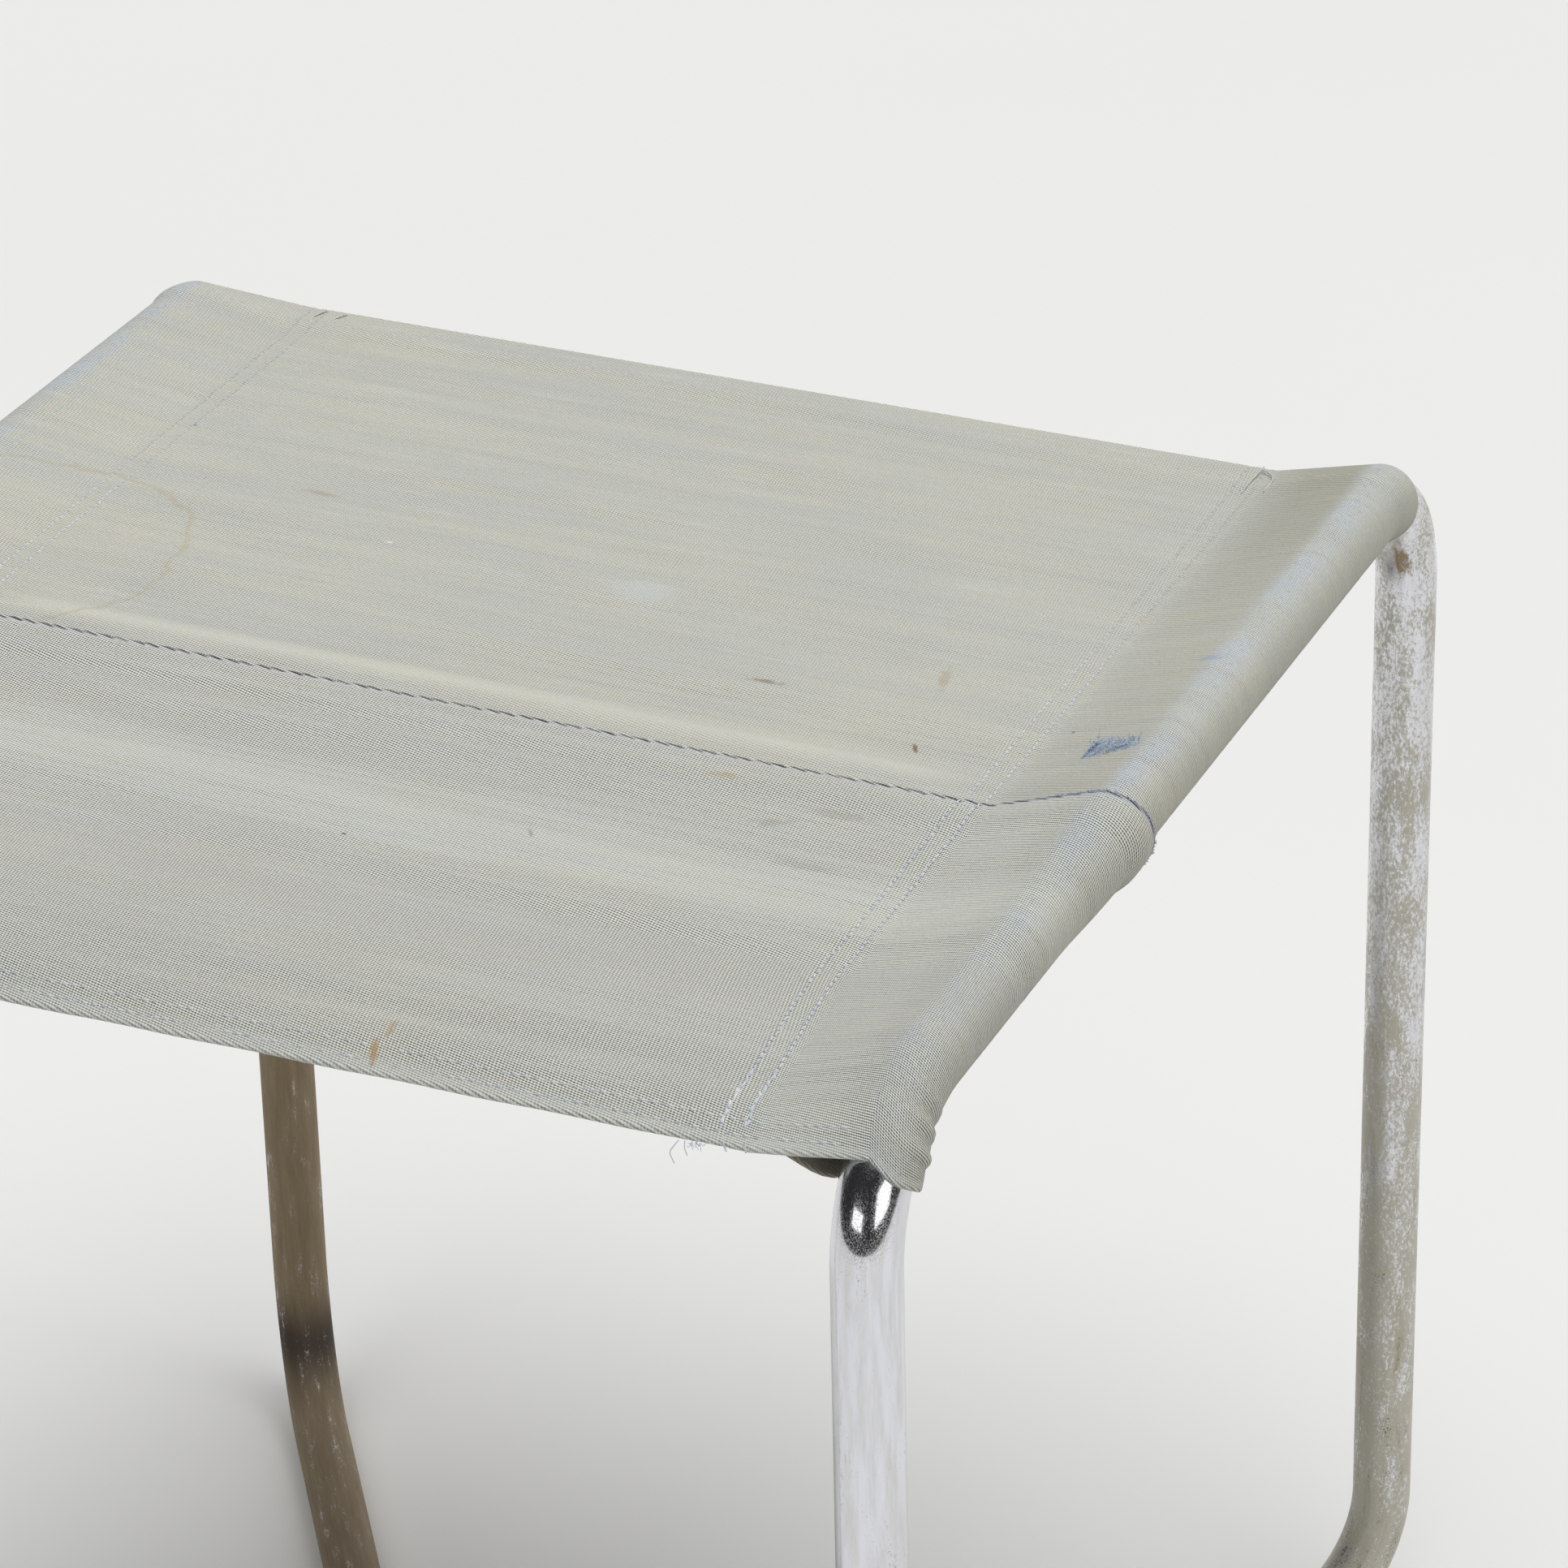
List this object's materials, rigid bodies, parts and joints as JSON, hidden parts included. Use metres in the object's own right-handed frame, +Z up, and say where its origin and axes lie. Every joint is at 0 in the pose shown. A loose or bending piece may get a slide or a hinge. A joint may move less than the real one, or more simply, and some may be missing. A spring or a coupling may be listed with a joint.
{
  "type": "camp stool",
  "caption": "Low stool: closed loop of bent chromed tube with inward-bowed floor runners, and a sling seat of two lapped cloth strips sleeved on the rails.",
  "frame": {"origin": "on the floor, below the middle of the seat", "axes": "+X across the seat from the left rail to the right rail, +Y along the rails from front to rear, +Z up"},
  "size_m": [0.4544, 0.476, 0.4681],
  "materials": {
    "frame_chrome": "worn, pitted chrome plate with rust-brown mottling",
    "fastener_steel": "dull zinc",
    "seat_cloth": "faded grey-green ribbed canvas",
    "seat_thread": "pale blue sewing thread"
  },
  "bodies": {
    "root": {"front_frame_tube": "frame_chrome", "rear_frame_tube": "frame_chrome", "left_rail_plug": "fastener_steel", "right_rail_plug": "fastener_steel", "rail_plug_screws": "fastener_steel", "runner_tie_bolt": "fastener_steel", "runner_tie_nut": "fastener_steel", "runner_saddle": "fastener_steel", "front_seat_strip": "seat_cloth", "rear_seat_strip": "seat_cloth", "left_sleeve_stitching": "seat_thread", "right_sleeve_stitching": "seat_thread", "left_rail_stitching": "seat_thread", "lap_seam_stitching": "seat_thread", "front_hem_stitching": "seat_thread", "rear_hem_stitching": "seat_thread"}
  },
  "joints": []
}
